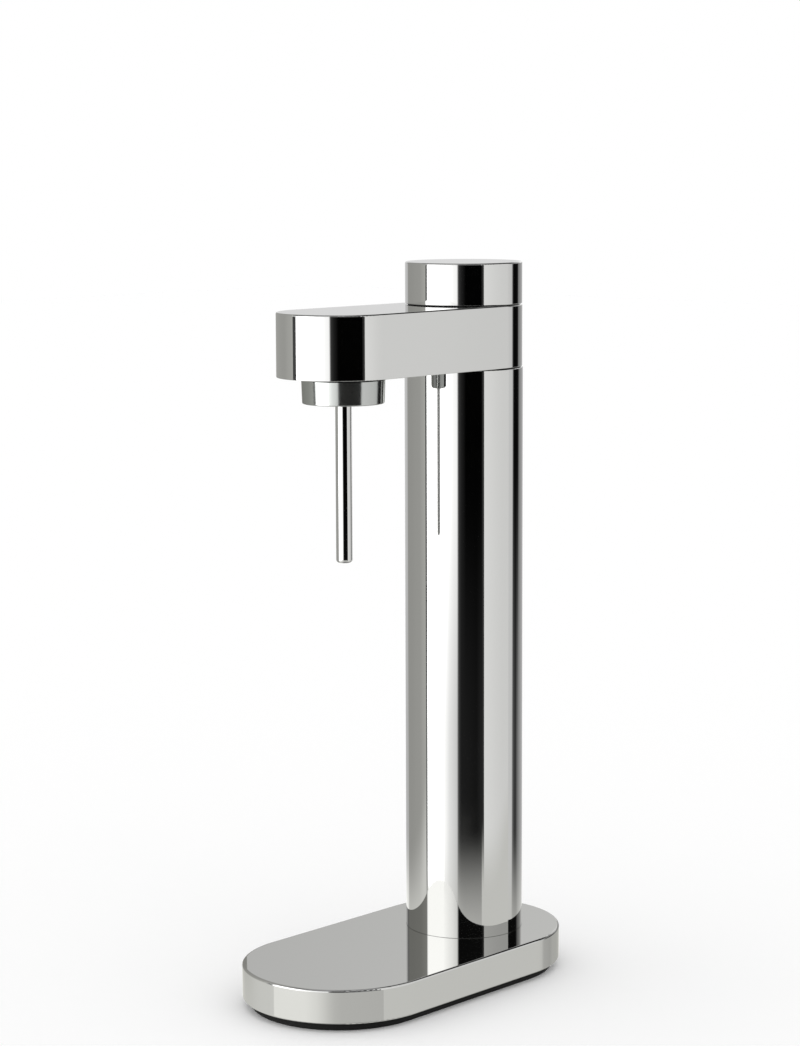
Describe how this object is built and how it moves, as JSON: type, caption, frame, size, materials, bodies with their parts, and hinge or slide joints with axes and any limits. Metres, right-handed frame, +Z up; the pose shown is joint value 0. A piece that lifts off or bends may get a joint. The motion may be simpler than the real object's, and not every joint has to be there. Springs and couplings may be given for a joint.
{
  "type": "sparkling water maker",
  "caption": "Polished steel water carbonator: oblong base, round column round a gas cylinder, cantilever arm with bottle collar and injector tube, turning knob on top.",
  "frame": {"origin": "middle of the footprint on the table plane", "axes": "+Z up, -Y to the bottle side under the arm's end, +X to the right of a person facing the bottle side from the column; the column stands at +Y"},
  "size_m": [0.1134, 0.219, 0.4189],
  "materials": {
    "polished_steel": "polished",
    "satin_steel": "satin",
    "zinc_steel": "satin",
    "spring_steel": "satin",
    "black_rubber": "matte",
    "black_plastic": "matte",
    "brass": "satin",
    "aluminium": "satin",
    "cast_iron": "matte"
  },
  "bodies": {
    "frame": {"foot_pad": "black_rubber", "bottom_plate": "zinc_steel", "bottom_screws": "zinc_steel", "ballast_plate": "cast_iron", "ballast_screws": "zinc_steel", "base_shell": "polished_steel", "column_flange": "zinc_steel", "flange_nuts": "zinc_steel", "column_tube": "polished_steel", "column_head_ring": "zinc_steel", "lower_guide_ring": "black_plastic", "upper_guide_ring": "black_plastic", "gas_cylinder": "aluminium", "cylinder_valve": "brass", "cylinder_gasket": "black_rubber", "seam_gasket": "black_rubber", "arm_chassis": "aluminium", "arm_shell": "polished_steel", "arm_screws": "zinc_steel", "head_screws": "zinc_steel", "valve_head": "brass", "plunger_seal": "black_rubber", "plunger_spring": "spring_steel", "torsion_spring": "spring_steel", "knob_circlip": "satin_steel", "glide_ring": "black_plastic", "gas_tube": "satin_steel", "rear_gas_nut": "brass", "front_gas_nut": "brass", "injector_head": "brass", "injector_screws": "zinc_steel", "nozzle_collar": "satin_steel", "bottle_thread_insert": "black_plastic", "bottle_seal": "black_rubber", "injector_tube": "polished_steel", "relief_spring": "spring_steel", "relief_cap": "brass"},
    "knob": {"knob_cap": "polished_steel", "knob_hub": "black_plastic"},
    "plunger": {"plunger": "brass", "follower_pin": "satin_steel", "cylinder_valve_pin": "brass"},
    "relief": {"relief_poppet": "black_plastic"}
  },
  "joints": [
    {"name": "knob_turn", "type": "hinge", "parent": "frame", "child": "knob", "pos_m": [0, 0.05275, 0.4], "axis": [0, 0, -1], "range_deg": [0, 60], "stiffness_Nm_per_rad": 0.4, "springref_deg": -28.65, "deforming": ["torsion_spring"]},
    {"name": "plunger_push", "type": "slide", "parent": "frame", "child": "plunger", "axis": [0, 0, -1], "range_m": [0, 0.0024], "stiffness_N_per_m": 0.1, "springref_m": -2.8255, "deforming": ["plunger_spring"]},
    {"name": "relief_lift", "type": "slide", "parent": "frame", "child": "relief", "axis": [0, 0, 1], "range_m": [0, 0.0015], "stiffness_N_per_m": 2000, "springref_m": -0.0018, "deforming": ["relief_spring"]}
  ],
  "couplings": [
    {"joint": "plunger_push", "follows": "knob_turn", "m_per_rad": 0.00229}
  ]
}
